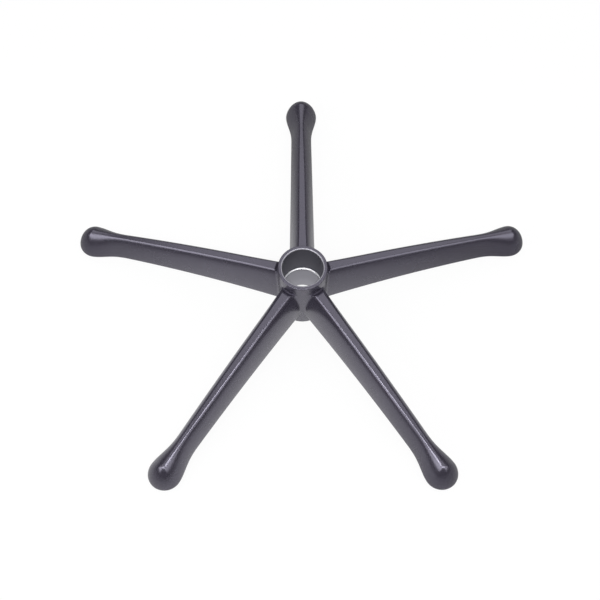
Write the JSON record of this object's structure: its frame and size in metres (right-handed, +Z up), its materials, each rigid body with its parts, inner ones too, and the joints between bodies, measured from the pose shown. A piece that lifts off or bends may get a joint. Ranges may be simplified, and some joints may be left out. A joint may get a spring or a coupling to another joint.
{
  "type": "office chair star base",
  "caption": "Office chair star base: sloping arms with domed caster ends spread from a hub tube with a stepped column bore.",
  "frame": {"origin": "centre of the hub's rim, on the hub's axis", "axes": "+Z up along the hub's axis, +Y along one of the arms"},
  "size_m": [0.6144, 0.5864, 0.1145],
  "materials": {
    "graphite_coat": "satin powder coat on die-cast aluminium"
  },
  "bodies": {
    "root": {"base_casting": "graphite_coat"}
  },
  "joints": []
}
